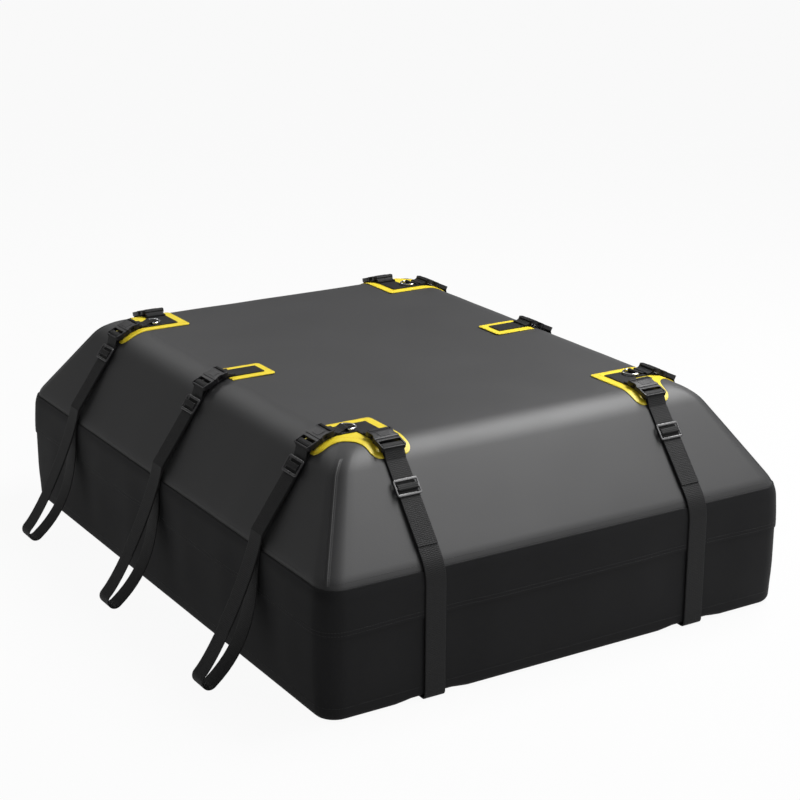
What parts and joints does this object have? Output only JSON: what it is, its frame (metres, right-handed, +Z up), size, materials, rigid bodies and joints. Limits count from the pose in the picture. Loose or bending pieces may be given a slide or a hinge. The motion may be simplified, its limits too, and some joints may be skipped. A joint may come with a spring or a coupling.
{
  "type": "soft roof cargo bag",
  "caption": "Soft tarpaulin roof bag with sloped top, covered zip, bright corner patches, buckled webbing straps and hanging lashing loops.",
  "frame": {"origin": "middle of the base, on the surface that the bag rests on", "axes": "+Z up, +Y along the bag towards its rear end, +X to its right side; -Y is the front end"},
  "size_m": [1.15, 1.2104, 0.4064],
  "materials": {
    "tarpaulin": "satin coated",
    "webbing": "woven matte",
    "patch_cloth": "satin coated",
    "buckle_plastic": "moulded satin",
    "ring_chrome": "bright plated",
    "zip_nylon": "matte"
  },
  "bodies": {
    "bag": {"bag_body": "tarpaulin", "storm_flap": "tarpaulin", "zip_chain": "zip_nylon", "front_left_corner_patch": "patch_cloth", "front_left_corner_webbing": "webbing", "front_right_corner_patch": "patch_cloth", "front_right_corner_webbing": "webbing", "rear_left_corner_patch": "patch_cloth", "rear_left_corner_webbing": "webbing", "rear_right_corner_patch": "patch_cloth", "rear_right_corner_webbing": "webbing", "left_middle_patch": "patch_cloth", "left_middle_webbing": "webbing", "right_middle_patch": "patch_cloth", "right_middle_webbing": "webbing", "left_front_female_buckle": "buckle_plastic", "left_middle_female_buckle": "buckle_plastic", "left_rear_female_buckle": "buckle_plastic", "right_front_female_buckle": "buckle_plastic", "right_middle_female_buckle": "buckle_plastic", "right_rear_female_buckle": "buckle_plastic", "front_left_female_buckle": "buckle_plastic", "front_right_female_buckle": "buckle_plastic", "rear_left_female_buckle": "buckle_plastic", "rear_right_female_buckle": "buckle_plastic"},
    "left_front_strap_end": {"left_front_male_buckle": "buckle_plastic", "left_front_tri_glide": "buckle_plastic", "left_front_strap": "webbing"},
    "left_middle_strap_end": {"left_middle_male_buckle": "buckle_plastic", "left_middle_tri_glide": "buckle_plastic", "left_middle_strap": "webbing"},
    "left_rear_strap_end": {"left_rear_male_buckle": "buckle_plastic", "left_rear_tri_glide": "buckle_plastic", "left_rear_strap": "webbing"},
    "right_front_strap_end": {"right_front_male_buckle": "buckle_plastic", "right_front_tri_glide": "buckle_plastic", "right_front_strap": "webbing"},
    "right_middle_strap_end": {"right_middle_male_buckle": "buckle_plastic", "right_middle_tri_glide": "buckle_plastic", "right_middle_strap": "webbing"},
    "right_rear_strap_end": {"right_rear_male_buckle": "buckle_plastic", "right_rear_tri_glide": "buckle_plastic", "right_rear_strap": "webbing"},
    "front_left_strap_end": {"front_left_male_buckle": "buckle_plastic", "front_left_tri_glide": "buckle_plastic", "front_left_strap": "webbing"},
    "front_right_strap_end": {"front_right_male_buckle": "buckle_plastic", "front_right_tri_glide": "buckle_plastic", "front_right_strap": "webbing"},
    "rear_left_strap_end": {"rear_left_male_buckle": "buckle_plastic", "rear_left_tri_glide": "buckle_plastic", "rear_left_strap": "webbing"},
    "rear_right_strap_end": {"rear_right_male_buckle": "buckle_plastic", "rear_right_tri_glide": "buckle_plastic", "rear_right_strap": "webbing"},
    "left_front_ring": {"left_front_d_ring": "ring_chrome"},
    "left_rear_ring": {"left_rear_d_ring": "ring_chrome"},
    "right_front_ring": {"right_front_d_ring": "ring_chrome"},
    "right_rear_ring": {"right_rear_d_ring": "ring_chrome"},
    "slider": {"zip_slider": "zip_nylon"}
  },
  "joints": [
    {"name": "left_front_buckle_release", "type": "slide", "parent": "bag", "child": "left_front_strap_end", "axis": [-0.9063, 0, -0.4226], "range_m": [0, 0.022]},
    {"name": "left_middle_buckle_release", "type": "slide", "parent": "bag", "child": "left_middle_strap_end", "axis": [-0.9063, 0, -0.4226], "range_m": [0, 0.022]},
    {"name": "left_rear_buckle_release", "type": "slide", "parent": "bag", "child": "left_rear_strap_end", "axis": [-0.9063, 0, -0.4226], "range_m": [0, 0.022]},
    {"name": "right_front_buckle_release", "type": "slide", "parent": "bag", "child": "right_front_strap_end", "axis": [0.9063, 0, -0.4226], "range_m": [0, 0.022]},
    {"name": "right_middle_buckle_release", "type": "slide", "parent": "bag", "child": "right_middle_strap_end", "axis": [0.9063, 0, -0.4226], "range_m": [0, 0.022]},
    {"name": "right_rear_buckle_release", "type": "slide", "parent": "bag", "child": "right_rear_strap_end", "axis": [0.9063, 0, -0.4226], "range_m": [0, 0.022]},
    {"name": "front_left_buckle_release", "type": "slide", "parent": "bag", "child": "front_left_strap_end", "axis": [0, -0.9537, -0.3007], "range_m": [0, 0.022]},
    {"name": "front_right_buckle_release", "type": "slide", "parent": "bag", "child": "front_right_strap_end", "axis": [0, -0.9537, -0.3007], "range_m": [0, 0.022]},
    {"name": "rear_left_buckle_release", "type": "slide", "parent": "bag", "child": "rear_left_strap_end", "axis": [0, 0.9537, -0.3007], "range_m": [0, 0.022]},
    {"name": "rear_right_buckle_release", "type": "slide", "parent": "bag", "child": "rear_right_strap_end", "axis": [0, 0.9537, -0.3007], "range_m": [0, 0.022]},
    {"name": "left_front_ring_lift", "type": "hinge", "parent": "bag", "child": "left_front_ring", "pos_m": [-0.298, -0.375, 0.39675], "axis": [0, -1, 0], "range_deg": [0, 135]},
    {"name": "left_rear_ring_lift", "type": "hinge", "parent": "bag", "child": "left_rear_ring", "pos_m": [-0.298, 0.375, 0.39675], "axis": [0, -1, 0], "range_deg": [0, 135]},
    {"name": "right_front_ring_lift", "type": "hinge", "parent": "bag", "child": "right_front_ring", "pos_m": [0.298, -0.375, 0.39675], "axis": [0, 1, 0], "range_deg": [0, 135]},
    {"name": "right_rear_ring_lift", "type": "hinge", "parent": "bag", "child": "right_rear_ring", "pos_m": [0.298, 0.375, 0.39675], "axis": [0, 1, 0], "range_deg": [0, 135]},
    {"name": "zip_open", "type": "slide", "parent": "bag", "child": "slider", "axis": [0, 1, 0], "range_m": [-1.06, 0]}
  ]
}
